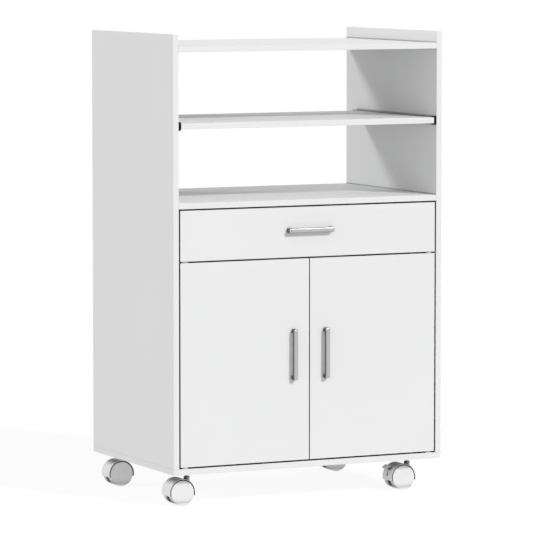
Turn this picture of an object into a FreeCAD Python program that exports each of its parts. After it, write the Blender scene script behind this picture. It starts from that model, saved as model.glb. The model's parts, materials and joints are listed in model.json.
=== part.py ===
import FreeCAD, Part
import math
import os
from FreeCAD import Vector as V

# Microwave cart on four twin-wheel casters.
# Frame: millimetres, +Z up, +X to the right of someone facing the cart, -Y out of the front.
# Origin: on the floor, under the middle of the whole cart with its handles.

# ---- body ----
WIDTH = 600.0             # over the two side panels
DEPTH = 400.0             # front edges to back edges of the side panels
BODY_H = 872.0            # underside of the bottom panel to the top of the side panels
BOARD = 12.0              # thickness of every carcass board
EDGE_EASE = 0.4           # rounding on the edges of the boards
LIP_H = 23.0              # side panels stand this far above the top panel
UPPER_BAY_H = 139.5       # clear height between top panel and sliding shelf
MIDDLE_BAY_H = 145.5      # clear height between sliding shelf and fixed shelf
DRAWER_FRONT_H = 100.7
FRONT_T = 15.0            # thickness of the doors and the drawer front
FRONT_GAP = 3.0           # gap round the doors and the drawer front
PAIR_GAP = 2.0            # gap between the two doors
RAIL_DEPTH = 60.0         # front to back of the cross rail
RAIL_SETBACK = 1.0        # cross rail behind the drawer front and the doors
BACK_T = 3.0              # back panel
BACK_INSET = 9.0          # back panel in from the back edges
GROOVE_DEPTH = 5.0        # grooves that hold the back panel and the drawer bottom
GROOVE_PLAY = 0.4         # end play of a thin panel in its groove
GROOVE_SLACK = 0.1        # play of a thin panel on each face

# ---- adjustable shelf in the cupboard ----
INNER_SHELF_LIFT = 196.0  # top of the bottom panel to the underside of the shelf
INNER_SHELF_FRONT = 40.0  # shelf's front edge behind the front plane
INNER_SHELF_PLAY = 1.0    # gap at each end and behind
PIN_R = 2.5
PIN_IN_BOARD = 8.0        # length of a shelf pin in the side panel
PIN_OUT = 9.0             # length that carries the shelf
PIN_PITCH = 32.0          # spacing of the spare pin holes
PIN_INSET = 45.0          # pins in from the shelf's front and back edges

# ---- sliding shelf and its channels ----
SHELF_DEPTH = 336.0
SHELF_TRAVEL = 200.0
CHANNEL_WEB = 4.8         # channel's wall against the side panel
CHANNEL_FLANGE = 1.2      # thickness of the flanges above and below the shelf
CHANNEL_REACH = 10.4      # flanges out from the side panel
CHANNEL_BACK = 16.0       # channel runs on behind the shelf
CHANNEL_FLANGE_SET = 46.0 # flanges begin this far behind the front plane
CHANNEL_CLEAR = 0.5       # shelf to each flange
SHELF_SIDE_CLEAR = 0.8    # shelf's ends to the channel's wall
CAP_DEPTH = 3.0           # plastic cap over the channel's front end
CAP_FLANGE = 2.3          # thickness of the cap above and below the shelf
CAP_PEG_R = 1.6           # peg that holds the cap in the end of the channel's wall
CAP_PEG_L = 8.0
STOP_PEG_R = 1.4          # peg on the lower flange that rides in the shelf's slot
STOP_PEG_SET = 54.0       # peg behind the front plane
STOP_PEG_UP = 3.5         # peg's height into the shelf
STOP_CLEAR = 0.5          # round the peg, and above it
STOP_EDGE = 3.2           # peg's axis in from the shelf's end

# ---- drawer ----
DRAWER_T = 12.0           # sides and back
DRAWER_BOTTOM_T = 3.0
DRAWER_BOTTOM_LIFT = 9.0  # underside of the drawer bottom above the sides' lower edges
DRAWER_BACK_ROOM = 30.0   # behind the drawer, to the back panel
DRAWER_CLEAR_BELOW = 4.0  # drawer sides above the cross rail
DRAWER_CLEAR_ABOVE = 16.0 # drawer sides below the fixed shelf
DRAWER_TRAVEL = 255.0
RUNNER_SPACE = 12.5       # side panel to drawer side
RUNNER_STEEL = 1.2
RUNNER_LIFT = 5.0         # underside of the runner above the drawer sides' lower edges
RUNNER_INNER_H = 24.0     # between the flanges of the cabinet runner
RUNNER_MOUTH = 0.3        # cabinet runner's flanges to the drawer runner
RUNNER_SETBACK = 20.0     # cabinet runner behind the front plane
RUNNER_WEB_H = 31.0       # height of the drawer runner's wall
RUNNER_FLANGE_CLEAR = 1.2 # drawer runner's flange to the cabinet runner's wall
ROLLER_R = 8.0
ROLLER_W = 6.6
ROLLER_END = 12.0         # roller's axle in from the end of its runner
ROLLER_SEAT = 0.05        # roller to the flange that it rolls on
ROLLER_PASS = 1.0         # more room than that between each roller and the flange it clears
AXLE_PIN_R = 2.0
PIN_FIT = 0.05            # radial clearance of every turning fit
PIN_HEAD_R = 3.2
PIN_HEAD_T = 0.8
ROLLER_SIDE_GAP = 0.5     # roller to the runner's wall, and to the pin's head
RUNNER_STOP_H = 6.0       # height of the pressed stops
RUNNER_STOP_T = 3.0
RUNNER_STOP_GAP = 0.3     # roller to the stop that it rests on

# ---- doors on pivot hinges ----
PIVOT_IN = 12.0           # pivot axis in from the door's outer edge
PIVOT_BACK = 6.0          # pivot axis behind the door's face
PIVOT_R = 2.0
PIVOT_LEN = 8.0           # pivot pin beyond its leaf
LEAF_T = 1.2
LEAF_W = 16.0
LEAF_LEN = 54.0
LEAF_FRONT = 1.2          # leaf's front edge behind the front plane
LEAF_SCREW_END = 9.2      # leaf's last screw in from its back end
LEAF_SCREW_PITCH = 18.0   # between the leaf's two screws
BUSH_R = 4.0
BUSH_FLANGE_R = 4.8
BUSH_FLANGE_PLAY = 0.1    # bush flange to the leaf
BUSH_DEPTH = 10.0
CATCH_FROM_MIDDLE = 60.0  # magnetic catch's middle, from the middle of the cart
CATCH_W = 46.0
CATCH_D = 14.0
CATCH_H = 12.0
CATCH_EAR = 9.0           # screw ear at each end of a catch
CATCH_EAR_T = 2.5
CATCH_GAP = 0.4           # catch to its strike plate
MAGNET_W = 22.0
MAGNET_H = 8.0
MAGNET_PROUD = 0.2
STRIKE_W = 30.0
STRIKE_H = 14.0
STRIKE_T = 1.0
STRIKE_DROP = 3.0         # strike plate below the door's top edge

# ---- bow handles ----
HANDLE_L = 101.4
HANDLE_W = 9.0            # across the bar
HANDLE_BAR_D = 6.0        # bar, back to front
HANDLE_FINGER = 7.0       # finger gap behind the bar
HANDLE_LEG = 7.0          # leg, along the bar
HANDLE_ROUND = 2.2        # rounding of the bar's outer edges and of its ends
HANDLE_EDGE = 34.8        # door handle's middle from the door's free edge
HANDLE_DROP = 141.4       # door handle's upper end below the door's top edge
DRAWER_HANDLE_UP = 4.0    # drawer handle's middle above the middle of the drawer front
HANDLE_SCREW_R = 2.0
HANDLE_SCREW_IN = 9.0     # screw's length inside the leg

# ---- knock-down fittings and screws ----
CAM_R = 6.0
CAM_SKIN = 2.0            # board left over the cam's pocket
CAM_SET = 24.0            # cam's middle from the joint
BOLT_R = 1.8
BOLT_THREAD_R = 2.5
BOLT_SKIN = 3.5           # board left beyond the bolt's thread
BOLT_HEAD_R = 2.8
BOLT_HEAD_L = 2.6
BOLT_ROOM = 0.5           # round the bolt in the board's end and in the cam
FITTING_INSET = 50.0      # cams in from the front and back edges
DOWEL_OFFSET = 32.0       # dowel beside its cam
RAIL_CAM_IN = 18.0        # cross rail's cams in from its back edge
RAIL_DOWEL_OFFSET = 24.0  # and its dowels in front of them
DOWEL_R = 3.0
DOWEL_SKIN = 4.0          # board left beyond a dowel's end
DOWEL_IN_END = 16.0       # dowel's length in the board's end
DRAWER_CAM_IN = 12.0      # cams above the drawer bottom, and below the sides' upper edges
BASE_SCREW_R = 2.5
BASE_SCREW_L = 45.0
BASE_SCREW_HEAD_R = 4.8
BASE_SCREW_INSET = 30.0
BASE_SCREWS_EACH = 4
SCREW_R = 1.9             # small countersunk screws
SCREW_L = 10.0
SCREW_SINK = 1.1          # depth of a small screw's head
SCREW_TIP = 2.0           # length of every screw's point
PAN_HEAD_R = 3.8          # heads of the handle screws
PAN_HEAD_H = 2.2
RECESS_W = 0.9            # cross recess in a screw's head
RECESS_L = 3.6
RECESS_D = 1.1

# ---- casters ----
CASTER_H = 66.0           # floor to the underside of the bottom panel
CASTER_SIDE = 51.0        # swivel axis in from the side
CASTER_FRONT = 50.0       # swivel axis in from the front and back
TRAIL = 18.0              # wheel's axle behind the swivel axis
WHEEL_R = 25.4
CASTER_W = 40.0           # over the two wheels
WHEEL_GAP = 14.0          # between the two wheels
WHEEL_ROUND = 1.8         # rounding of the wheel's outer edge
WHEEL_RIM = 4.4           # thickness of the tread
WHEEL_DISC = 3.0          # thickness of the outer disc
WHEEL_HUB_R = 6.0
AXLE_R = 3.0
AXLE_IN_WHEEL = 9.0       # axle's length inside each wheel
HOOD_GAP = 1.7            # tread to hood
HOOD_T = 1.0
HOOD_BELOW = 6.0          # hood ends this far below the axle
HOOD_SET = 0.5            # hood's edges behind the wheels' outer faces
HOOD_WEB = 10.0           # thickness of the wall between the wheels
HOOD_HUB_R = 8.0
HUB_SIDE_GAP = 0.4        # hub to wheel
NECK_R = 6.2
NECK_ROUND = 2.6          # rounding of the neck's upper edge
STEM_R = 3.5
STEM_LEN = 30.0           # swivel stem below the plate
STEM_END = 0.3            # below the stem's end in its socket
PLATE_W = 42.0
PLATE_T = 2.5
PLATE_CORNER = 4.0
COLLAR_R = 9.0            # bearing collar under the plate
COLLAR_T = 1.8
COLLAR_GAP = 4.9          # neck to collar
PLATE_HOLES = 32.0        # spacing of the plate's screws
BRAKE_SLOT_W = 4.0        # small window in a braked hood
BRAKE_SLOT_H = 6.5
BRAKE_SLOT_UP = 3.0       # window above the axle
LEVER_W = 7.4             # lever inside the hood
LEVER_SIDE_GAP = 0.3
LEVER_PIVOT = (-10.5, 12.1)   # lever's pin from the axle: along X, and up
LEVER_PIN_R = 1.5
LEVER_BOSS_R = 3.4
LEVER_T = 3.0
LEVER_TIP = (-36.4, 19.5)     # end of the lever from the axle
LEVER_BEND = (-28.7, 24.8)    # bend of the lever's tab from the axle
LEVER_TAB_W = 13.0
LEVER_TRAVEL = 10.0       # degrees
SHOE_ARM = 6.0            # brake shoe from the lever's pin
SHOE_ANGLE = 47.0         # shoe's direction from the pin, degrees up from +X
SHOE_R = 1.6
SHOE_SIDE_GAP = 0.6       # shoe's ends to the wheels' discs

# ---- places worked out from the sizes above ----
HANDLE_OUT = HANDLE_FINGER + HANDLE_BAR_D
FRONT_Y = (HANDLE_OUT - DEPTH) / 2
INNER_X = WIDTH / 2 - BOARD
BASE_Z = CASTER_H
FLOOR_TOP_Z = BASE_Z + BOARD
TOP_Z = BASE_Z + BODY_H
TOP_PANEL_Z = TOP_Z - LIP_H
SHELF_Z = TOP_PANEL_Z - BOARD - UPPER_BAY_H
SHELF_LOW_Z = SHELF_Z - BOARD
FIXED_Z = SHELF_LOW_Z - MIDDLE_BAY_H
FIXED_UNDER_Z = FIXED_Z - BOARD
DRAWER_TOP_Z = FIXED_UNDER_Z - FRONT_GAP
DRAWER_LOW_Z = DRAWER_TOP_Z - DRAWER_FRONT_H
DOOR_TOP_Z = DRAWER_LOW_Z - FRONT_GAP
DOOR_LOW_Z = FLOOR_TOP_Z + FRONT_GAP
LEAF_GAP = (FRONT_GAP - LEAF_T) / 2
RAIL_LOW_Z = DOOR_TOP_Z + LEAF_GAP + LEAF_T
RAIL_U = FRONT_T + RAIL_SETBACK
BACK_U = DEPTH - BACK_INSET - BACK_T
BOX_X = INNER_X - RUNNER_SPACE
BOX_END_U = BACK_U - DRAWER_BACK_ROOM
BOX_LOW_Z = RAIL_LOW_Z + BOARD + DRAWER_CLEAR_BELOW
BOX_TOP_Z = FIXED_UNDER_Z - DRAWER_CLEAR_ABOVE
RUNNER_Z = BOX_LOW_Z + RUNNER_LIFT
RUNNER_IN_Z = RUNNER_Z + RUNNER_STEEL
RUNNER_REACH = RUNNER_SPACE - RUNNER_STEEL - RUNNER_MOUTH
FLANGE_Z = RUNNER_IN_Z + 2 * ROLLER_R + 3 * ROLLER_SEAT + ROLLER_PASS
PIVOT_X = INNER_X - FRONT_GAP - PIVOT_IN
HANDLE_X = PAIR_GAP / 2 + HANDLE_EDGE
INNER_SHELF_Z = FLOOR_TOP_Z + INNER_SHELF_LIFT
SWIVEL_X = WIDTH / 2 - CASTER_SIDE
AXLE_Z = WHEEL_R
HOOD_IN_R = WHEEL_R + HOOD_GAP
HOOD_R = HOOD_IN_R + HOOD_T
CHANNEL_END_U = SHELF_DEPTH + CHANNEL_BACK
CHANNEL_LOW_Z = SHELF_LOW_Z - CHANNEL_CLEAR - CHANNEL_FLANGE
CHANNEL_TOP_Z = SHELF_Z + CHANNEL_CLEAR + CHANNEL_FLANGE

X_AXIS = V(1, 0, 0)
Y_AXIS = V(0, 1, 0)
Z_AXIS = V(0, 0, 1)
SIDES = {"left": -1, "right": 1}

solids = {}   # node name -> its solids
cutters = {}  # node name -> what is cut out of them


def add(node, *shapes):
    solids.setdefault(node, []).extend(shapes)


def drill(node, *shapes):
    cutters.setdefault(node, []).extend(shapes)


def at(x, u, z):
    """A point; u is measured back from the front plane."""
    return V(x, FRONT_Y + u, z)


def box(x0, x1, u0, u1, z0, z1):
    low_x, high_x = min(x0, x1), max(x0, x1)
    return Part.makeBox(high_x - low_x, u1 - u0, z1 - z0, at(low_x, u0, z0))


def side_box(side, d0, d1, u0, u1, z0, z1):
    """Box placed by its distances d0 and d1 from the inner face of a side panel."""
    return box(side * (INNER_X - d0), side * (INNER_X - d1), u0, u1, z0, z1)


def board(x0, x1, u0, u1, z0, z1):
    """Box with its edges eased."""
    plain = box(x0, x1, u0, u1, z0, z1)
    return plain.makeFillet(EDGE_EASE, plain.Edges)


def rod(radius, start, direction, length):
    return Part.makeCylinder(radius, length, start, direction)


def upright_edges(shape):
    return [e for e in shape.Edges if abs(e.tangentAt(0).z) > 0.9]


def fuse(first, *others):
    return first.multiFuse(list(others)).removeSplitter()


def prism(points, direction):
    """Extrude a closed outline of points."""
    return Part.Face(Part.makePolygon(points + [points[0]])).extrude(direction)


# ---- screws and fittings ----

def shank(seat, direction, length, radius):
    """Straight shank with a conical point."""
    straight = rod(radius, seat, direction, length - SCREW_TIP)
    tip = Part.makeCone(radius, radius / 4, SCREW_TIP, seat + direction * (length - SCREW_TIP), direction)
    return straight.fuse(tip).removeSplitter()


def cross_recess(face, direction):
    """Cross cut into a head from the middle of its outer face."""
    across = direction.cross(X_AXIS) if abs(direction.x) < 0.5 else direction.cross(Y_AXIS)
    arms = []
    for arm in (across, direction.cross(across)):
        other = direction.cross(arm)
        corner = face - arm * (RECESS_L / 2) - other * (RECESS_W / 2)
        outline = [corner, corner + arm * RECESS_L, corner + arm * RECESS_L + other * RECESS_W,
                   corner + other * RECESS_W]
        arms.append(prism(outline, direction * RECESS_D))
    return arms[0].fuse(arms[1])


def pan_screw(seat, direction, length, radius):
    """Pan-head screw whose head seats on a face; gives the screw and the hole it needs."""
    hole = shank(seat, direction, length, radius)
    face = seat - direction * PAN_HEAD_H
    head = rod(PAN_HEAD_R, face, direction, PAN_HEAD_H)
    rim = [e for e in head.Edges if e.Closed and (e.CenterOfMass - face).Length < PAN_HEAD_H / 2]
    head = head.makeFillet(PAN_HEAD_H / 2, rim)
    return head.fuse(hole).removeSplitter().cut(cross_recess(face, direction)), hole


def flat_screw(seat, direction, length, radius, head_r):
    """Countersunk screw, flush with the face it is driven into."""
    head = Part.makeCone(head_r, radius, head_r - radius, seat, direction)
    hole = head.fuse(shank(seat, direction, length, radius)).removeSplitter()
    return hole.cut(cross_recess(seat, direction)), hole


def mounting_screw(seat, direction, fixed, board_node, node="mounting_screws"):
    """Small countersunk screw that holds a fitting on a board."""
    screw, hole = flat_screw(seat, direction, SCREW_L, SCREW_R, SCREW_R + SCREW_SINK)
    add(node, screw)
    drill(fixed, hole)
    drill(board_node, hole)


def cam_fitting(kind, mouth, into, toward, end_board, other_board, other_t):
    """Cam lock let into one board, and its bolt, which is screwed into the other board.

    mouth is the middle of the cam's open face, into points into the board, and toward
    points at the joint.
    """
    depth = BOARD - CAM_SKIN
    middle = mouth + into * (BOARD / 2)
    room_r = BOLT_HEAD_R + BOLT_ROOM
    body = rod(CAM_R, mouth, into, depth)
    pocket = rod(room_r, middle - toward * (BOLT_HEAD_L / 2 + BOLT_ROOM), toward, CAM_R * 2)
    slot = cross_recess(mouth, into)
    thread_l = other_t - BOLT_SKIN
    shank_part = rod(BOLT_R, middle, toward, CAM_SET)
    head = rod(BOLT_HEAD_R, middle - toward * (BOLT_HEAD_L / 2), toward, BOLT_HEAD_L)
    thread = rod(BOLT_THREAD_R, middle + toward * CAM_SET, toward, thread_l)
    add(kind + "cam_locks", body.cut(pocket.fuse(slot)))
    add(kind + "cam_bolts", fuse(shank_part, head, thread))
    drill(end_board, body, rod(room_r, middle, toward, CAM_SET + BOARD))
    drill(other_board, thread)


def dowel(middle, toward, end_board, other_board, other_t):
    """Wooden dowel; middle is where it crosses the joint."""
    length = DOWEL_IN_END + other_t - DOWEL_SKIN
    peg = rod(DOWEL_R, middle - toward * DOWEL_IN_END, toward, length)
    add("wood_dowels", peg)
    drill(end_board, peg)
    drill(other_board, peg)


def join_to_sides(node, under_z, places, spread):
    """Cams and dowels at both ends of a horizontal board between the side panels."""
    for name, side in SIDES.items():
        toward = V(side, 0, 0)
        for u, way in places:
            mouth = at(side * (INNER_X - CAM_SET), u, under_z)
            panel = name + "_side_panel"
            cam_fitting("", mouth, Z_AXIS, toward, node, panel, BOARD)
            dowel(at(side * INNER_X, u + way * spread, under_z + BOARD / 2), toward, node, panel, BOARD)


# ---- carcass ----

def carcass():
    for name, side in SIDES.items():
        add(name + "_side_panel",
            board(side * INNER_X, side * WIDTH / 2, 0, DEPTH, FLOOR_TOP_Z, TOP_Z))
    add("bottom_panel", board(-WIDTH / 2, WIDTH / 2, 0, DEPTH, BASE_Z, FLOOR_TOP_Z))
    add("top_panel", board(-INNER_X, INNER_X, 0, DEPTH, TOP_PANEL_Z - BOARD, TOP_PANEL_Z))
    add("fixed_shelf", board(-INNER_X, INNER_X, 0, DEPTH, FIXED_UNDER_Z, FIXED_Z))
    add("cross_rail", board(-INNER_X, INNER_X, RAIL_U, RAIL_U + RAIL_DEPTH, RAIL_LOW_Z, RAIL_LOW_Z + BOARD))
    ends = [(FITTING_INSET, 1), (DEPTH - FITTING_INSET, -1)]
    join_to_sides("top_panel", TOP_PANEL_Z - BOARD, ends, DOWEL_OFFSET)
    join_to_sides("fixed_shelf", FIXED_UNDER_Z, ends, DOWEL_OFFSET)
    join_to_sides("cross_rail", RAIL_LOW_Z, [(RAIL_U + RAIL_DEPTH - RAIL_CAM_IN, -1)], RAIL_DOWEL_OFFSET)
    for side in SIDES.values():
        for n in range(BASE_SCREWS_EACH):
            step = (DEPTH - 2 * BASE_SCREW_INSET) / (BASE_SCREWS_EACH - 1)
            seat = at(side * (WIDTH / 2 - BOARD / 2), BASE_SCREW_INSET + n * step, BASE_Z)
            screw, hole = flat_screw(seat, Z_AXIS, BASE_SCREW_L, BASE_SCREW_R, BASE_SCREW_HEAD_R)
            add("base_screws", screw)
            drill("bottom_panel", hole)
            drill("left_side_panel" if side < 0 else "right_side_panel", hole)


def back_panel():
    out = GROOVE_DEPTH - GROOVE_PLAY
    add("back_panel", box(-INNER_X - out, INNER_X + out, BACK_U, BACK_U + BACK_T,
                          FLOOR_TOP_Z - out, FIXED_UNDER_Z + out))
    groove = box(-INNER_X - GROOVE_DEPTH, INNER_X + GROOVE_DEPTH, BACK_U - GROOVE_SLACK,
                 BACK_U + BACK_T + GROOVE_SLACK, FLOOR_TOP_Z - GROOVE_DEPTH, FIXED_UNDER_Z + GROOVE_DEPTH)
    for node in ("left_side_panel", "right_side_panel", "bottom_panel", "fixed_shelf"):
        drill(node, groove)


def inner_shelf():
    back = BACK_U - INNER_SHELF_PLAY
    half = INNER_X - INNER_SHELF_PLAY
    add("inner_shelf", board(-half, half, INNER_SHELF_FRONT, back, INNER_SHELF_Z, INNER_SHELF_Z + BOARD))
    pin_z = INNER_SHELF_Z - PIN_R
    for name, side in SIDES.items():
        for u in (INNER_SHELF_FRONT + PIN_INSET, back - PIN_INSET):
            inward = V(-side, 0, 0)
            start = at(side * (INNER_X + PIN_IN_BOARD), u, pin_z)
            pin = rod(PIN_R, start, inward, PIN_IN_BOARD + PIN_OUT)
            add("shelf_pins", pin)
            for step in (-1, 0, 1):
                spare = rod(PIN_R, start + Z_AXIS * (step * PIN_PITCH), inward, PIN_IN_BOARD)
                drill(name + "_side_panel", spare)


# ---- sliding shelf ----

def shelf_channel(side, flange, u0, u1):
    """C section round the shelf's end, open at both ends."""
    low = SHELF_LOW_Z - CHANNEL_CLEAR
    top = SHELF_Z + CHANNEL_CLEAR
    outer = side_box(side, 0, CHANNEL_REACH, u0, u1, low - flange, top + flange)
    return outer.cut(side_box(side, CHANNEL_WEB, CHANNEL_REACH, u0, u1, low, top))


def channel_cap(side):
    """Cap over a channel's front end: a C on the right, and only its wall on the left."""
    if side > 0:
        cap = shelf_channel(side, CAP_FLANGE, 0, CAP_DEPTH)
    else:
        over = CHANNEL_CLEAR + CAP_FLANGE
        cap = side_box(side, 0, CHANNEL_WEB, 0, CAP_DEPTH, SHELF_LOW_Z - over, SHELF_Z + over)
    return cap.makeFillet(EDGE_EASE, cap.Edges)


def sliding_shelf():
    half = INNER_X - CHANNEL_WEB - SHELF_SIDE_CLEAR
    add("sliding_shelf", board(-half, half, 0, SHELF_DEPTH, SHELF_LOW_Z, SHELF_Z))
    peg_d = CHANNEL_WEB + SHELF_SIDE_CLEAR + STOP_EDGE
    slot_r = STOP_PEG_R + STOP_CLEAR
    flange_z = SHELF_LOW_Z - CHANNEL_CLEAR
    slot_top = flange_z + STOP_PEG_UP + STOP_CLEAR
    middle_z = SHELF_Z - BOARD / 2
    for name, side in SIDES.items():
        node = name + "_shelf_channel"
        back_wall = side_box(side, 0, CHANNEL_REACH, CHANNEL_END_U - CHANNEL_WEB, CHANNEL_END_U,
                             CHANNEL_LOW_Z, CHANNEL_TOP_Z)
        stop_peg = rod(STOP_PEG_R, at(side * (INNER_X - peg_d), STOP_PEG_SET, flange_z), Z_AXIS, STOP_PEG_UP)
        wall = side_box(side, 0, CHANNEL_WEB, CAP_DEPTH, CHANNEL_END_U, CHANNEL_LOW_Z, CHANNEL_TOP_Z)
        flanged = shelf_channel(side, CHANNEL_FLANGE, CHANNEL_FLANGE_SET, CHANNEL_END_U)
        add(node, fuse(wall, flanged, back_wall, stop_peg))
        cap_peg_foot = at(side * (INNER_X - CHANNEL_WEB / 2), CAP_DEPTH, middle_z)
        cap_hole = rod(CAP_PEG_R, cap_peg_foot, Y_AXIS, CAP_PEG_L)
        cap_peg = rod(CAP_PEG_R, cap_peg_foot - Y_AXIS * (CAP_DEPTH / 2), Y_AXIS, CAP_DEPTH / 2 + CAP_PEG_L)
        add("channel_caps", channel_cap(side).fuse(cap_peg))
        drill(node, cap_hole)
        slot = side_box(side, peg_d - slot_r, peg_d + slot_r, STOP_PEG_SET, STOP_PEG_SET + SHELF_TRAVEL,
                        SHELF_LOW_Z, slot_top)
        for u in (STOP_PEG_SET, STOP_PEG_SET + SHELF_TRAVEL):
            foot = at(side * (INNER_X - peg_d), u, SHELF_LOW_Z)
            slot = slot.fuse(rod(slot_r, foot, Z_AXIS, slot_top - SHELF_LOW_Z))
        drill("sliding_shelf", slot)
        for u in (FITTING_INSET, CHANNEL_END_U / 2, CHANNEL_END_U - FITTING_INSET):
            seat = at(side * (INNER_X - CHANNEL_WEB), u, middle_z)
            mounting_screw(seat, V(side, 0, 0), node, name + "_side_panel")


# ---- drawer ----

def drawer_box():
    front_half = INNER_X - FRONT_GAP
    add("drawer_front", board(-front_half, front_half, 0, FRONT_T, DRAWER_LOW_Z, DRAWER_TOP_Z))
    inner = BOX_X - DRAWER_T
    for name, side in SIDES.items():
        node = "drawer_%s_side" % name
        add(node, box(side * inner, side * BOX_X, FRONT_T, BOX_END_U, BOX_LOW_Z, BOX_TOP_Z))
        low_z = BOX_LOW_Z + DRAWER_BOTTOM_LIFT + DRAWER_BOTTOM_T + DRAWER_CAM_IN
        for z in (low_z, BOX_TOP_Z - DRAWER_CAM_IN):
            mouth = at(side * inner, FRONT_T + CAM_SET, z)
            cam_fitting("drawer_", mouth, V(side, 0, 0), V(0, -1, 0), node, "drawer_front", FRONT_T)
            mouth = at(side * (inner - CAM_SET), BOX_END_U, z)
            cam_fitting("drawer_", mouth, V(0, -1, 0), V(side, 0, 0), "drawer_back", node, DRAWER_T)
    add("drawer_back", box(-inner, inner, BOX_END_U - DRAWER_T, BOX_END_U, BOX_LOW_Z, BOX_TOP_Z))
    low = BOX_LOW_Z + DRAWER_BOTTOM_LIFT
    out = GROOVE_DEPTH - GROOVE_PLAY
    add("drawer_bottom", box(-inner - out, inner + out, FRONT_T - out, BOX_END_U - DRAWER_T + out,
                             low, low + DRAWER_BOTTOM_T))
    groove = box(-inner - GROOVE_DEPTH, inner + GROOVE_DEPTH,
                 FRONT_T - GROOVE_DEPTH, BOX_END_U - DRAWER_T + GROOVE_DEPTH,
                 low - GROOVE_SLACK, low + DRAWER_BOTTOM_T + GROOVE_SLACK)
    for node in ("drawer_left_side", "drawer_right_side", "drawer_front", "drawer_back"):
        drill(node, groove)


def roller(side, wall_d, away, u, z):
    """Nylon roller beside a runner's wall, and the riveted pin that it turns on.

    wall_d is the wall's distance from the side panel; away is +1 if the pin points away
    from the side panel.
    """
    near = wall_d + away * ROLLER_SIDE_GAP
    far = near + away * ROLLER_W
    pin_end = far + away * (ROLLER_SIDE_GAP + PIN_HEAD_T)
    inward = V(-side * away, 0, 0)

    def place(d):
        return at(side * (INNER_X - d), u, z)

    wheel = rod(ROLLER_R, place(near), inward, ROLLER_W)
    wheel = wheel.makeFillet(RUNNER_STEEL / 2, [e for e in wheel.Edges if e.Closed])
    wheel = wheel.cut(rod(AXLE_PIN_R + PIN_FIT, place(near), inward, ROLLER_W))
    pin = rod(AXLE_PIN_R, place(wall_d), inward, abs(pin_end - wall_d))
    head = rod(PIN_HEAD_R, place(far + away * ROLLER_SIDE_GAP), inward, PIN_HEAD_T)
    return wheel, pin.fuse(head)


def drawer_runners():
    rest_u = BOX_END_U - ROLLER_END
    seat_z = RUNNER_IN_Z + ROLLER_SEAT + ROLLER_R
    top = RUNNER_IN_Z + RUNNER_INNER_H + RUNNER_STEEL
    runner_end = rest_u + ROLLER_R + RUNNER_STOP_GAP + RUNNER_STEEL
    for name, side in SIDES.items():
        wall = side_box(side, 0, RUNNER_STEEL, RUNNER_SETBACK, runner_end, RUNNER_Z, top)
        lower = side_box(side, 0, RUNNER_REACH, RUNNER_SETBACK, runner_end, RUNNER_Z, RUNNER_IN_Z)
        upper = side_box(side, 0, RUNNER_REACH, RUNNER_SETBACK, runner_end, top - RUNNER_STEEL, top)
        back_stop = side_box(side, 0, RUNNER_REACH, runner_end - RUNNER_STEEL, runner_end,
                             RUNNER_Z, RUNNER_IN_Z + ROLLER_R)
        front_u = rest_u - DRAWER_TRAVEL - ROLLER_R - RUNNER_STOP_GAP
        front_stop = side_box(side, 0, RUNNER_REACH, front_u - RUNNER_STOP_T, front_u,
                              RUNNER_Z, RUNNER_IN_Z + RUNNER_STOP_H)
        fixed_u = RUNNER_SETBACK + ROLLER_END
        fixed_z = FLANGE_Z - ROLLER_SEAT - ROLLER_R
        wheel, pin = roller(side, RUNNER_STEEL, 1, fixed_u, fixed_z)
        add("%s_cabinet_runner" % name, fuse(wall, lower, upper, back_stop, front_stop, pin))
        add("cabinet_rollers", wheel)
        moving_d = RUNNER_SPACE - RUNNER_STEEL
        wall_z = RUNNER_Z + RUNNER_STEEL
        plate = side_box(side, moving_d, RUNNER_SPACE, FRONT_T, BOX_END_U, wall_z, wall_z + RUNNER_WEB_H)
        flange = side_box(side, RUNNER_STEEL + RUNNER_FLANGE_CLEAR, RUNNER_SPACE, FRONT_T, BOX_END_U,
                          FLANGE_Z, FLANGE_Z + RUNNER_STEEL)
        wheel, pin = roller(side, moving_d, -1, rest_u, seat_z)
        add("%s_drawer_runner" % name, fuse(plate, flange, pin))
        add("drawer_rollers", wheel)
        for u in (rest_u - FITTING_INSET, (rest_u + FRONT_T) / 2, FRONT_T + FITTING_INSET):
            seat = at(side * (INNER_X - moving_d), u, wall_z + RUNNER_WEB_H - 2 * (SCREW_R + SCREW_SINK))
            mounting_screw(seat, V(-side, 0, 0), name + "_drawer_runner", "drawer_%s_side" % name,
                           "drawer_screws")
            # The fixed runner's screws sit flush in its wall, clear of the rollers.
            seat = at(side * (INNER_X - RUNNER_STEEL), u, RUNNER_IN_Z + RUNNER_INNER_H / 2)
            mounting_screw(seat, V(side, 0, 0), name + "_cabinet_runner", name + "_side_panel")


# ---- handles ----

def slab(middle, along, length, across, width, out, depth):
    """Block that stands on a face, with its foot's middle given."""
    corner = middle - along * (length / 2) - across * (width / 2)
    far = corner + along * length
    return prism([corner, far, far + across * width, corner + across * width], out * depth)


def bow_handle(middle, along, across, out):
    """Bow handle: a bar with rounded edges on two legs. middle is on the face that carries it."""
    full = slab(middle, along, HANDLE_L, across, HANDLE_W, out, HANDLE_OUT)
    off_the_face = [e for e in full.Edges if (e.CenterOfMass - middle).dot(out) > HANDLE_ROUND]
    full = full.makeFillet(HANDLE_ROUND, off_the_face)
    return full.cut(slab(middle, along, HANDLE_L - 2 * HANDLE_LEG, across, 2 * HANDLE_W, out, HANDLE_FINGER))


def fit_handle(handle, screws, panel, middle, along, across):
    """Handle and its two screws, which come through the panel from behind."""
    out = V(0, -1, 0)
    add(handle, bow_handle(middle, along, across, out))
    for end in (-1, 1):
        leg = middle + along * (end * (HANDLE_L - HANDLE_LEG) / 2)
        seat = leg - out * FRONT_T
        screw, hole = pan_screw(seat, out, FRONT_T + HANDLE_SCREW_IN, HANDLE_SCREW_R)
        add(screws, screw)
        drill(panel, hole)
        drill(handle, hole)


# ---- doors ----

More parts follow.
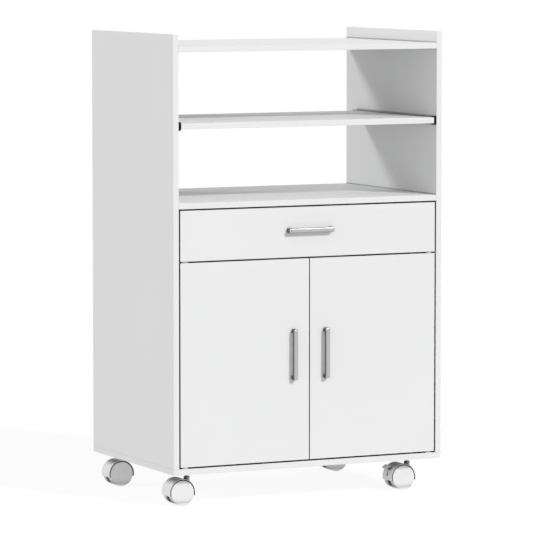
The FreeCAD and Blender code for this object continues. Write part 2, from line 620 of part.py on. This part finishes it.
def doors():
    for name, side in SIDES.items():
        node = name + "_door"
        outer = side * (INNER_X - FRONT_GAP)
        inner = side * PAIR_GAP / 2
        add(node, board(outer, inner, 0, FRONT_T, DOOR_LOW_Z, DOOR_TOP_Z))
        middle = at(side * HANDLE_X, 0, DOOR_TOP_Z - HANDLE_DROP - HANDLE_L / 2)
        fit_handle(node + "_handle", node + "_handle_screws", node, middle, Z_AXIS, X_AXIS)
        for edge_z, up in ((DOOR_TOP_Z, 1), (DOOR_LOW_Z, -1)):
            door_pivot(name, side, edge_z, up)
        door_catch(name, side)


def door_pivot(name, side, edge_z, up):
    """Leaf with its pin at one end of a door, and the bush that turns on the pin."""
    away = V(0, 0, up)
    into = V(0, 0, -up)
    leaf_gap = LEAF_GAP if up > 0 else FRONT_GAP - LEAF_T
    leaf_near = edge_z + up * leaf_gap
    leaf_low = min(leaf_near, leaf_near + up * LEAF_T)
    x = side * PIVOT_X
    leaf = box(x - LEAF_W / 2, x + LEAF_W / 2, LEAF_FRONT, LEAF_FRONT + LEAF_LEN,
               leaf_low, leaf_low + LEAF_T)
    leaf = leaf.makeFillet(LEAF_W / 4, upright_edges(leaf))
    pin = rod(PIVOT_R, at(x, PIVOT_BACK, leaf_near), into, PIVOT_LEN)
    add("door_pivots", leaf.fuse(pin).removeSplitter())
    flange_t = leaf_gap - BUSH_FLANGE_PLAY
    body = rod(BUSH_R, at(x, PIVOT_BACK, edge_z), into, BUSH_DEPTH)
    flange = rod(BUSH_FLANGE_R, at(x, PIVOT_BACK, edge_z), away, flange_t)
    bore = rod(PIVOT_R + PIN_FIT, at(x, PIVOT_BACK, leaf_near), into, PIVOT_LEN + PIVOT_R / 2)
    add(name + "_door_bushes", body.fuse(flange).removeSplitter().cut(bore))
    drill(name + "_door", body)
    last_u = LEAF_FRONT + LEAF_LEN - LEAF_SCREW_END
    for u in (last_u - LEAF_SCREW_PITCH, last_u):
        seat = at(x, u, leaf_near)
        mounting_screw(seat, away, "door_pivots", "cross_rail" if up > 0 else "bottom_panel")


def door_catch(name, side):
    """Magnetic catch under the cross rail, and its strike plate on the door's back."""
    x = side * CATCH_FROM_MIDDLE
    front = FRONT_T + STRIKE_T + CATCH_GAP
    case_half = CATCH_W / 2 - CATCH_EAR
    case = box(x - case_half, x + case_half, front + MAGNET_PROUD, front + CATCH_D,
               RAIL_LOW_Z - CATCH_H, RAIL_LOW_Z)
    ears = box(x - CATCH_W / 2, x + CATCH_W / 2, front + MAGNET_PROUD, front + CATCH_D,
               RAIL_LOW_Z - CATCH_EAR_T, RAIL_LOW_Z)
    middle_z = RAIL_LOW_Z - CATCH_H / 2
    magnet = box(x - MAGNET_W / 2, x + MAGNET_W / 2, front, front + CATCH_D / 2,
                 middle_z - MAGNET_H / 2, middle_z + MAGNET_H / 2)
    add("door_catches", case.fuse(ears).removeSplitter().cut(magnet), magnet)
    for end in (-1, 1):
        seat = at(x + end * (CATCH_W - CATCH_EAR) / 2, front + CATCH_D / 2, RAIL_LOW_Z - CATCH_EAR_T)
        mounting_screw(seat, Z_AXIS, "door_catches", "cross_rail")
    top = DOOR_TOP_Z - STRIKE_DROP
    strike = box(x - STRIKE_W / 2, x + STRIKE_W / 2, FRONT_T, FRONT_T + STRIKE_T, top - STRIKE_H, top)
    add(name + "_strike_plate", strike)


# ---- casters ----

def caster_sites():
    for end, u in (("front", CASTER_FRONT), ("rear", DEPTH - CASTER_FRONT)):
        for name, side in SIDES.items():
            yield "%s_%s" % (end, name), at(side * SWIVEL_X, u, 0), side > 0


def caster_plate(pivot):
    """Fixing plate with its bearing collar and the stem that the caster swivels on."""
    half = PLATE_W / 2
    under = BASE_Z - PLATE_T
    plate = Part.makeBox(PLATE_W, PLATE_W, PLATE_T, V(pivot.x - half, pivot.y - half, under))
    plate = plate.makeFillet(PLATE_CORNER, upright_edges(plate))
    down = V(0, 0, -1)
    centre = V(pivot.x, pivot.y, under)
    collar = rod(COLLAR_R, centre, down, COLLAR_T)
    stem = rod(STEM_R, centre, down, STEM_LEN)
    add("caster_plates", fuse(plate, collar, stem))
    for sx in (-1, 1):
        for sy in (-1, 1):
            seat = centre + V(sx * PLATE_HOLES / 2, sy * PLATE_HOLES / 2, 0)
            mounting_screw(seat, Z_AXIS, "caster_plates", "bottom_panel")


def lever_outline(axle):
    """Side outline of the brake lever's arm and its bent tab, in the plane of the axle."""
    pin = axle + V(LEVER_PIVOT[0], 0, LEVER_PIVOT[1])
    bend = axle + V(LEVER_BEND[0], 0, LEVER_BEND[1])
    tip = axle + V(LEVER_TIP[0], 0, LEVER_TIP[1])
    first = (bend - pin).normalize()
    second = (tip - bend).normalize()
    low = V(-first.z, 0, first.x) * (LEVER_T / 2)
    low_tip = V(-second.z, 0, second.x) * (LEVER_T / 2)
    corner = (low + low_tip).normalize() * (LEVER_T / 2)
    return [pin + low, bend + corner, tip + low_tip * 0.5, tip - low_tip * 0.5, bend - corner, pin - low]


def brake_lever(name, axle):
    """Lever, its shoe and its pin hole; gives what has to be cut from the hood for it."""
    pin = axle + V(LEVER_PIVOT[0], 0, LEVER_PIVOT[1])
    half = LEVER_W / 2

    def plate(width, points):
        shift = V(0, -width / 2, 0)
        return prism([p + shift for p in points], V(0, width, 0))

    outline = lever_outline(axle)
    arm = plate(LEVER_W, outline)
    reach = HOOD_R + LEVER_T
    tab = plate(LEVER_TAB_W, outline).cut(rod(reach, axle - Y_AXIS * CASTER_W, Y_AXIS, 2 * CASTER_W))
    boss = rod(LEVER_BOSS_R, pin - Y_AXIS * half, Y_AXIS, LEVER_W)
    angle = math.radians(SHOE_ANGLE)
    shoe_at = pin + V(SHOE_ARM * math.cos(angle), 0, SHOE_ARM * math.sin(angle))
    shoe_half = CASTER_W / 2 - WHEEL_DISC - SHOE_SIDE_GAP
    shoe = rod(SHOE_R, shoe_at - Y_AXIS * shoe_half, Y_AXIS, 2 * shoe_half)
    bridge_side = V(-math.sin(angle), 0, math.cos(angle)) * SHOE_R
    bridge = plate(LEVER_W, [pin + bridge_side, shoe_at + bridge_side, shoe_at - bridge_side,
                             pin - bridge_side])
    bore = rod(LEVER_PIN_R + PIN_FIT, pin - Y_AXIS * half, Y_AXIS, LEVER_W)
    add(name + "_brake_lever", fuse(arm, tab, boss, shoe, bridge).cut(bore))


def lever_room(axle):
    """Space inside a braked hood that the lever sweeps, without its pin."""
    pin = axle + V(LEVER_PIVOT[0], 0, LEVER_PIVOT[1])
    half = LEVER_W / 2 + LEVER_SIDE_GAP
    wall = HOOD_R + LEVER_T
    cavity = rod(SHOE_ARM + SHOE_R + LEVER_SIDE_GAP + PIN_FIT, pin - Y_AXIS * half, Y_AXIS, 2 * half)
    mouth = axle + V(LEVER_BEND[0], 0, LEVER_BEND[1])
    direction = (mouth - pin).normalize()
    up = V(direction.z, 0, -direction.x)
    if up.z < 0:
        up = up * -1
    swing = math.tan(math.radians(LEVER_TRAVEL)) * wall
    thick = LEVER_T / 2 + LEVER_SIDE_GAP
    far = direction * wall
    slot = prism([p - Y_AXIS * half for p in (pin + up * thick, pin + far + up * thick,
                                              pin + far - up * (thick + swing), pin - up * thick)],
                 V(0, 2 * half, 0))
    shoe_half = CASTER_W / 2 - WHEEL_DISC
    angle = math.radians(SHOE_ANGLE)
    window_r = SHOE_R + LEVER_SIDE_GAP
    window = []
    for turn in (0.0, LEVER_TRAVEL / 2, LEVER_TRAVEL):
        along = angle + math.radians(turn)
        spot = pin + V(SHOE_ARM * math.cos(along), 0, SHOE_ARM * math.sin(along))
        window.append(rod(window_r, spot - Y_AXIS * shoe_half, Y_AXIS, 2 * shoe_half))
    return fuse(cavity, slot, *window)


def caster(name, pivot, braked):
    axle = pivot + V(-TRAIL, 0, AXLE_Z)
    outer_half = CASTER_W / 2
    hood_half = outer_half - HOOD_SET
    hub_half = WHEEL_GAP / 2 - HUB_SIDE_GAP

    def drum(radius, half):
        return rod(radius, axle - Y_AXIS * half, Y_AXIS, 2 * half)

    above = Part.makeBox(4 * HOOD_R, 2 * CASTER_W, 2 * HOOD_R,
                         axle + V(-2 * HOOD_R, -CASTER_W, -HOOD_BELOW))
    shell = drum(HOOD_R, hood_half).cut(drum(HOOD_IN_R, hood_half)).common(above)
    web = drum(HOOD_R, HOOD_WEB / 2).common(above)
    hub = drum(HOOD_HUB_R, hub_half)
    neck_low = axle + V(TRAIL, 0, -HOOD_BELOW)
    neck_top = BASE_Z - PLATE_T - COLLAR_T - COLLAR_GAP
    neck = rod(NECK_R, neck_low, Z_AXIS, neck_top - neck_low.z)
    upper_edge = [e for e in neck.Edges if e.Closed and e.CenterOfMass.z > AXLE_Z]
    neck = neck.makeFillet(NECK_ROUND, upper_edge)
    socket_low = BASE_Z - PLATE_T - STEM_LEN - STEM_END
    socket = rod(STEM_R + PIN_FIT, V(pivot.x, pivot.y, socket_low), Z_AXIS, BASE_Z - socket_low)
    hood = fuse(shell, web, hub, neck).cut(socket).cut(drum(AXLE_R, outer_half))
    if braked:
        pin = axle + V(LEVER_PIVOT[0], 0, LEVER_PIVOT[1])
        lever_pin = rod(LEVER_PIN_R, pin - Y_AXIS * (HOOD_WEB / 2), Y_AXIS, HOOD_WEB)
        slot = Part.makeBox(HOOD_R, BRAKE_SLOT_W, BRAKE_SLOT_H,
                            axle + V(-2 * HOOD_IN_R + HOOD_T, -BRAKE_SLOT_W / 2, BRAKE_SLOT_UP))
        hood = hood.cut(lever_room(axle)).cut(slot).fuse(lever_pin)
        brake_lever(name, axle)
    add(name + "_caster_hood", hood)
    add(name + "_caster_axle", drum(AXLE_R, WHEEL_GAP / 2 + AXLE_IN_WHEEL))
    for way in (-1, 1):
        add(name + "_caster_wheels", caster_wheel(axle, way))


def caster_wheel(axle, way):
    """One wheel: tread, outer disc and hub, turned in one profile about the axle."""
    outer = CASTER_W / 2
    inner = WHEEL_GAP / 2
    pocket_r = WHEEL_R - WHEEL_RIM
    bore = AXLE_R + PIN_FIT
    bore_end = inner + AXLE_IN_WHEEL + PIN_FIT
    disc_in = outer - WHEEL_DISC
    shoulder = WHEEL_ROUND * (1 - math.sqrt(0.5))
    profile = [(0, outer), (WHEEL_R - WHEEL_ROUND, outer), (WHEEL_R - shoulder, outer - shoulder),
               (WHEEL_R, outer - WHEEL_ROUND), (WHEEL_R, inner + WHEEL_ROUND / 2),
               (WHEEL_R - WHEEL_ROUND / 2, inner), (pocket_r, inner), (pocket_r, disc_in),
               (WHEEL_HUB_R, disc_in), (WHEEL_HUB_R, inner), (bore, inner), (bore, bore_end), (0, bore_end)]
    points = [axle + V(r, way * y, 0) for r, y in profile]
    face = Part.Face(Part.makePolygon(points + [points[0]]))
    return face.revolve(axle, Y_AXIS, 360)


def build():
    carcass()
    back_panel()
    inner_shelf()
    sliding_shelf()
    drawer_box()
    drawer_runners()
    handle_z = (DRAWER_TOP_Z + DRAWER_LOW_Z) / 2 + DRAWER_HANDLE_UP
    fit_handle("drawer_handle", "drawer_screws", "drawer_front", at(0, 0, handle_z), X_AXIS, Z_AXIS)
    doors()
    for name, pivot, braked in caster_sites():
        caster_plate(pivot)
        caster(name, pivot, braked)


def write():
    os.makedirs("parts", exist_ok=True)
    for node, shapes in solids.items():
        tools = cutters.get(node, [])
        done = []
        for shape in shapes:
            near = [t for t in tools if t.BoundBox.intersect(shape.BoundBox)]
            done.extend((shape.cut(near) if near else shape).Solids)
        whole = done[0] if len(done) == 1 else Part.makeCompound(done)
        whole.exportStep("parts/%s.step" % node)


build()
write()
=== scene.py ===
import bpy
import json
import math
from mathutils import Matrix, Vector

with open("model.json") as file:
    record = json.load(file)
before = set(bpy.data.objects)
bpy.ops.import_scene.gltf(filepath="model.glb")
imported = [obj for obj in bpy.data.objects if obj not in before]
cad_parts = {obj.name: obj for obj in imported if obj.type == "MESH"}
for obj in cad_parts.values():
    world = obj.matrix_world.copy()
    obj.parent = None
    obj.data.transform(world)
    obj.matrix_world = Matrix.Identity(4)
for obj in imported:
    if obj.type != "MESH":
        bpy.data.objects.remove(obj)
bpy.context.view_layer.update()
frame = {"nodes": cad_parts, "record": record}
scene = bpy.context.scene
nodes = frame["nodes"]
record = frame["record"]
MM = 0.001


# ---- node trees ----

NOISE_BAND = (0.3, 0.7)      # most of a noise lies in it


class Tree:
    """A node tree, with short ways to add nodes and to join them."""

    def __init__(self, owner):
        owner.use_nodes = True
        self.tree = owner.node_tree

    def add(self, kind, **values):
        node = self.tree.nodes.new(kind)
        for key, value in values.items():
            setattr(node, key, value)
        return node

    def feed(self, node, socket, value):
        """Joins an output to a socket, or sets the socket to a plain number or colour."""
        if isinstance(value, bpy.types.NodeSocket):
            self.tree.links.new(value, node.inputs[socket])
        else:
            node.inputs[socket].default_value = value

    def math(self, op, a, b):
        n = self.add("ShaderNodeMath", operation=op)
        self.feed(n, 0, a)
        self.feed(n, 1, b)
        return n.outputs[0]

    def dot(self, a, b):
        n = self.add("ShaderNodeVectorMath", operation="DOT_PRODUCT")
        self.feed(n, 0, a)
        self.feed(n, 1, b)
        return n.outputs["Value"]

    def coordinate(self, vector, axis):
        """One coordinate of a vector, with axis 0, 1 or 2."""
        n = self.add("ShaderNodeSeparateXYZ")
        self.feed(n, 0, vector)
        return n.outputs[axis]

    def mix(self, factor, a, b):
        n = self.add("ShaderNodeMix", data_type="RGBA")
        self.feed(n, 0, factor)
        self.feed(n, 6, a)
        self.feed(n, 7, b)
        return n.outputs[2]

    def remap(self, value, lo, hi, band=NOISE_BAND):
        """Brings the band of a value to lo and hi, and holds it there beyond the band."""
        n = self.add("ShaderNodeMapRange")
        self.feed(n, "Value", value)
        ends = (("From Min", band[0]), ("From Max", band[1]), ("To Min", lo), ("To Max", hi))
        for key, end in ends:
            self.feed(n, key, end)
        return n.outputs["Result"]

    def show(self, out, lighting, seen):
        """Gives out the shader that lights the object, and the other one to the rays that show
        the background: straight, in a reflection or through something clear."""
        path = self.add("ShaderNodeLightPath")
        to_view = path.outputs["Is Camera Ray"]
        for key in ("Is Glossy Ray", "Is Transmission Ray"):
            to_view = self.math("MAXIMUM", to_view, path.outputs[key])
        choose = self.add("ShaderNodeMixShader")
        for socket, value in enumerate((to_view, lighting, seen)):
            self.feed(choose, socket, value)
        self.feed(out, "Surface", choose.outputs[0])


# ---- materials ----

PATCH_NOISE = (3.0, 0.55)    # detail and roughness of each noise
SPECK_NOISE = (2.0, 0.6)
GRAIN_NOISE = (3.0, 0.6)
EDGE_MARK_NOISE = (3.0, 0.7)
EDGE_MARK_SCALE = 60.0
EDGE_MARK_BAND = (0.35, 0.6)
EDGE_MARK_LEAST = 0.2             # of the edge wear and painted edge reflection, where the noise is lowest
WORN_TONE = 0.8              # of the finish, where no colour is given for its worn edges
MOTTLE_BAND = (0.35, 0.65)
PATCH_SHARE = 0.6            # in the mottle; the rest is specks
EDGE_SAMPLES = 4
EDGE_BAND = (0.75, 0.99)     # cosine between the rounded and the plain normal
SHADE_SAMPLES = 12
SHADE_DEEP = 0.3             # share of open sky where the painted shade is darkest
FLOOR_FADE = (3 * MM, 9 * MM)    # heights above the floor
FRONT_BAND = (0.45, 0.75)    # cosine to the piece's own front or back
COAT_ROUGH = 0.15


class Finish(Tree):
    """A material's node tree, with the textures that the finishes share."""

    def __init__(self, name):
        self.mat = bpy.data.materials.new(name)
        super().__init__(self.mat)
        self.shader = self.tree.nodes["Principled BSDF"]
        own = self.add("ShaderNodeTexCoord")
        self.place = own.outputs["Object"]
        self.normal = own.outputs["Normal"]

    def noise(self, scale, kind, stretch=None):
        """A noise; kind is its detail and roughness, stretch its scale along each axis."""
        where = self.place
        if stretch:
            mapping = self.add("ShaderNodeMapping")
            self.feed(mapping, "Scale", stretch)
            self.feed(mapping, "Vector", where)
            where = mapping.outputs["Vector"]
        n = self.add("ShaderNodeTexNoise")
        inputs = (("Vector", where), ("Scale", scale), ("Detail", kind[0]), ("Roughness", kind[1]))
        for key, value in inputs:
            self.feed(n, key, value)
        return n.outputs["Fac"]

    def relief(self, height, strength, distance):
        n = self.add("ShaderNodeBump")
        for key, value in (("Height", height), ("Strength", strength), ("Distance", distance)):
            self.feed(n, key, value)
        return n.outputs["Normal"]

    def edges(self, radius):
        """1 along the sharp edges of the piece and 0 away from them."""
        bevel = self.add("ShaderNodeBevel", samples=EDGE_SAMPLES)
        self.feed(bevel, "Radius", radius)
        plain = self.add("ShaderNodeNewGeometry").outputs["Normal"]
        return self.remap(self.dot(bevel.outputs["Normal"], plain), 1.0, 0.0, EDGE_BAND)

    def joints(self, reach):
        """Mask of painted shade, from ambient occlusion: 0 deep in joints, narrow gaps and under
        things, and 1 on open faces and next to the floor.
        """
        cover = self.add("ShaderNodeAmbientOcclusion", samples=SHADE_SAMPLES)
        self.feed(cover, "Distance", reach)
        spot = self.add("ShaderNodeNewGeometry").outputs["Position"]
        near_floor = self.remap(self.coordinate(spot, 2), 1.0, 0.0, FLOOR_FADE)
        return self.math("MAXIMUM", cover.outputs["AO"], near_floor)

    def facing_front(self):
        """1 on faces turned to the piece's own front or back, and 0 on its sides, which get the
        painted side shade.
        """
        turned = self.math("ABSOLUTE", self.coordinate(self.normal, 1), 0.0)
        return self.remap(turned, 0.0, 1.0, FRONT_BAND)


def rgba(colour, k=1.0):
    return (*[min(1.0, c * k) for c in colour], 1.0)


def finish_material(name, colour, rough, metal=0.0, vary=0.02, patch=5.0, speck=300.0,
                    grain=900.0, grain_up=0.02 * MM, grain_strength=0.3, rough_vary=0.06,
                    wear_and_shade=0.0, wear_and_shade_colour=None, wear_and_shade_radius=0.8 * MM, stretch=None, coat=0.0,
                    specular=0.5, aniso=0.0, shade_reach=0.0, shade_tone=0.1, shade_open=0.85,
                    side_shade=1.0):
    """A finish with patches and specks in its colour, specks in its gloss, a grain in relief,
    worn edges (on the nickel, a painted dark reflection along the edges) and painted shade in
    joints, gaps and under things. patch, speck and grain are noise scales. shade_open is the
    share of open sky from which a face has no painted shade. side_shade darkens the faces that
    don't look to the front or the back with painted shade."""
    t = Finish(name)
    broad = t.math("MULTIPLY", t.noise(patch, PATCH_NOISE, stretch), PATCH_SHARE)
    fine = t.noise(speck, SPECK_NOISE, stretch)
    mottle = t.math("ADD", broad, t.math("MULTIPLY", fine, 1 - PATCH_SHARE))
    tone = t.mix(t.remap(mottle, 0.0, 1.0, MOTTLE_BAND),
                 rgba(colour, 1 - vary), rgba(colour, 1 + vary))
    gloss = t.remap(fine, rough - rough_vary, rough + rough_vary)
    # worn edges; where the wear colour is dark, as on the nickel handles, this paints a dark
    # reflection along the rounded edges
    if wear_and_shade:
        uneven = t.remap(t.noise(EDGE_MARK_SCALE, EDGE_MARK_NOISE), EDGE_MARK_LEAST, 1.0, EDGE_MARK_BAND)
        mask = t.math("MULTIPLY", t.math("MULTIPLY", t.edges(wear_and_shade_radius), uneven), wear_and_shade)
        edge_colour = rgba(wear_and_shade_colour) if wear_and_shade_colour else rgba(colour, WORN_TONE)
        tone = t.mix(mask, tone, edge_colour)
    # painted shade: darker colour on the faces that don't look to the front or the back
    if side_shade < 1.0:
        tone = t.mix(t.facing_front(), rgba(colour, side_shade), tone)
    # painted shade: darker colour in joints, narrow gaps and under things, where ambient occlusion
    # finds little open sky
    if shade_reach:
        unshaded = t.remap(t.joints(shade_reach), 0.0, 1.0, (SHADE_DEEP, shade_open))
        tone = t.mix(unshaded, rgba(colour, shade_tone), tone)
    relief = t.relief(t.noise(grain, GRAIN_NOISE, stretch), grain_strength, grain_up)
    for key, value in (("Base Color", tone), ("Roughness", gloss), ("Metallic", metal),
                       ("Specular IOR Level", specular), ("Coat Weight", coat),
                       ("Anisotropic", aniso), ("Normal", relief)):
        t.feed(t.shader, key, value)
    if coat:
        t.feed(t.shader, "Coat Roughness", COAT_ROUGH)
    return t.mat


# on the nickel the dark edge colour paints dark reflections along the rounded edges, and the side
# tone paints shade on the sides of bar and legs
NICKEL = dict(colour=(0.5, 0.501, 0.5), rough=0.32, metal=1.0, vary=0.05, patch=500.0,
              speck=1500.0, grain=2400.0, rough_vary=0.05, wear_and_shade=0.75,
              wear_and_shade_colour=(0.2, 0.2, 0.2), wear_and_shade_radius=1.2 * MM, aniso=0.4, side_shade=0.34)
# the shade reach and tone in these finishes paint shade into gaps, joints and contact lines
FINISHES = {
    "white_board": finish_material(
        "board_white_melamine", (0.86, 0.862, 0.864), 0.5, vary=0.012, patch=3.5, speck=420.0,
        grain=1400.0, grain_up=0.04 * MM, grain_strength=0.25, wear_and_shade=0.25,
        wear_and_shade_colour=(0.74, 0.735, 0.72), wear_and_shade_radius=0.6 * MM, shade_reach=5 * MM,
        shade_tone=0.02, specular=0.15),
    "white_hardboard": finish_material(
        "hardboard_white_lacquer", (0.83, 0.828, 0.82), 0.6, patch=6.0, speck=250.0,
        grain=700.0, grain_up=0.08 * MM, wear_and_shade=0.4, wear_and_shade_colour=(0.5, 0.42, 0.33)),
    "black_plastic": finish_material(
        "cap_black_plastic", (0.006, 0.006, 0.0065), 0.55, vary=0.15, grain=1100.0,
        grain_up=0.04 * MM, wear_and_shade=0.3, wear_and_shade_colour=(0.02, 0.02, 0.021), specular=0.15),
    "channel_metal": finish_material(
        "channel_satin_aluminium", (0.38, 0.38, 0.385), 0.4, metal=1.0, vary=0.05, patch=60.0,
        speck=900.0, grain=1800.0, stretch=(1.0, 0.03, 1.0), aniso=0.3, wear_and_shade=0.3,
        wear_and_shade_colour=(0.55, 0.55, 0.55), shade_reach=6 * MM),
    "zinc_steel": finish_material(
        "zinc_plated_steel", (0.56, 0.57, 0.58), 0.34, metal=1.0, vary=0.08, patch=40.0,
        speck=600.0, grain=1500.0, rough_vary=0.1, wear_and_shade=0.5, wear_and_shade_colour=(0.7, 0.7, 0.7)),
    "beech": finish_material(
        "beech_dowel", (0.62, 0.44, 0.27), 0.6, vary=0.12, patch=120.0, speck=900.0,
        grain_up=0.1 * MM, stretch=(0.08, 1.0, 1.0), wear_and_shade=0.3),
    "nylon": finish_material("nylon_natural", (0.79, 0.785, 0.75), 0.4, vary=0.03, wear_and_shade=0.3),
    "catch_plastic": finish_material(
        "catch_white_plastic", (0.8, 0.8, 0.79), 0.4, grain=1000.0, wear_and_shade=0.3),
    # a long shade reach: paints shade on the hood tops under the cabinet and in the gap round the
    # wheels
    "caster_plastic": finish_material(
        "caster_white_plastic", (0.87, 0.872, 0.873), 0.32, vary=0.015, patch=40.0,
        grain=1300.0, grain_up=0.03 * MM, wear_and_shade=0.35, wear_and_shade_colour=(0.7, 0.7, 0.69), coat=0.3,
        shade_reach=26 * MM, shade_tone=0.03, shade_open=0.8),
    "lever_plastic": finish_material(
        "lever_grey_plastic", (0.6, 0.603, 0.605), 0.34, patch=60.0, grain=1300.0,
        grain_up=0.03 * MM, wear_and_shade=0.4, wear_and_shade_colour=(0.45, 0.45, 0.45), coat=0.3,
        shade_reach=5 * MM),
    "handle_metal": finish_material(
        "nickel_brushed_upright", stretch=(1.0, 1.0, 0.02), **NICKEL),
}
nickel_level = finish_material("nickel_brushed_level", stretch=(0.02, 1.0, 1.0), **NICKEL)


def paint(obj, material):
    obj.data.materials.clear()
    obj.data.materials.append(material)


for part in record["subparts"]:
    paint(nodes[part["node"]], FINISHES[part["material_slot"]])
paint(nodes["drawer_handle"], nickel_level)


# ---- floor, light and camera ----

WHITE = (1.0, 1.0, 1.0, 1.0)
FLOOR_HALF = 40.0
FLOOR_TONE = 0.15                      # colour of the floor
FLOOR_GLOW = 0.45                      # its own light on the object
FLOOR_WHITE = 0.88                     # its own light in the view, where it is nearly white
AMBIENT = 0.41                         # mean light from all round
AMBIENT_SLOPE = (-0.13, -0.17, 0.10)   # what a direction adds: more from left, front and above
KEY = ((-0.352, 0.755, -0.553), 0.54, 5.0)
BACK = ((0.305, -0.152, -0.141), 0.275, 9.0)
IMAGE_SIDE = 533
SENSOR = 36.0
CAMERA_AT = (-3.4041, -6.9759, 1.1368)
CAMERA_TURN = 26.0002                  # degrees from +Y towards +X
CAMERA_DOWN = 5.0183                   # degrees below level
CAMERA_FOCUS = 3801.1                  # pixels
CAMERA_CLIP = (0.5, 200.0)


def add_object(name, data):
    obj = bpy.data.objects.new(name, data)
    scene.collection.objects.link(obj)
    return obj


def emptied(owner, output):
    """The tree of a material or a world with nothing in it but a new output."""
    t = Tree(owner)
    t.tree.nodes.clear()
    return t, t.add(output)


def make_floor():
    half = FLOOR_HALF
    mesh = bpy.data.meshes.new("floor")
    corners = [(-half, -half, 0), (half, -half, 0), (half, half, 0), (-half, half, 0)]
    mesh.from_pydata(corners, [], [(0, 1, 2, 3)])
    floor = add_object("floor", mesh)
    mat = bpy.data.materials.new("floor_pale")
    t, out = emptied(mat, "ShaderNodeOutputMaterial")

    def glowing(glow):
        diffuse = t.add("ShaderNodeBsdfDiffuse")
        t.feed(diffuse, "Color", rgba((FLOOR_TONE,) * 3))
        light = t.add("ShaderNodeEmission")
        t.feed(light, "Strength", glow)
        both = t.add("ShaderNodeAddShader")
        t.feed(both, 0, diffuse.outputs[0])
        t.feed(both, 1, light.outputs[0])
        return both.outputs[0]

    t.show(out, glowing(FLOOR_GLOW), glowing(FLOOR_WHITE))
    mesh.materials.append(mat)


def make_world():
    scene.world = bpy.data.worlds.new("studio")
    t, out = emptied(scene.world, "ShaderNodeOutputWorld")
    away = t.add("ShaderNodeTexCoord").outputs["Generated"]
    level = t.math("ADD", t.dot(away, AMBIENT_SLOPE), AMBIENT)

    def plain(strength):
        n = t.add("ShaderNodeBackground")
        t.feed(n, "Color", WHITE)
        t.feed(n, "Strength", strength)
        return n.outputs[0]

    t.show(out, plain(level), plain(1.0))


def make_sun(name, travel, level, softness, in_gloss=True):
    """Distant lamp; level is the share of white that it adds to a white face turned to it,
    softness its width in degrees, and in_gloss says whether it shows in reflections."""
    data = bpy.data.lights.new(name, "SUN")
    data.energy = level * math.pi
    data.angle = math.radians(softness)
    lamp = add_object(name, data)
    lamp.rotation_euler = Vector(travel).to_track_quat("-Z", "Y").to_euler()
    lamp.visible_glossy = in_gloss


def make_camera():
    data = bpy.data.cameras.new("camera")
    data.sensor_width = SENSOR
    data.lens = CAMERA_FOCUS * SENSOR / IMAGE_SIDE
    data.clip_start, data.clip_end = CAMERA_CLIP
    cam = add_object("camera", data)
    cam.location = CAMERA_AT
    cam.rotation_euler = (math.radians(90 - CAMERA_DOWN), 0, math.radians(-CAMERA_TURN))
    scene.camera = cam


make_floor()
make_world()
make_sun("key", *KEY)
make_sun("back", *BACK, in_gloss=False)
make_camera()
scene.view_settings.view_transform = "Standard"
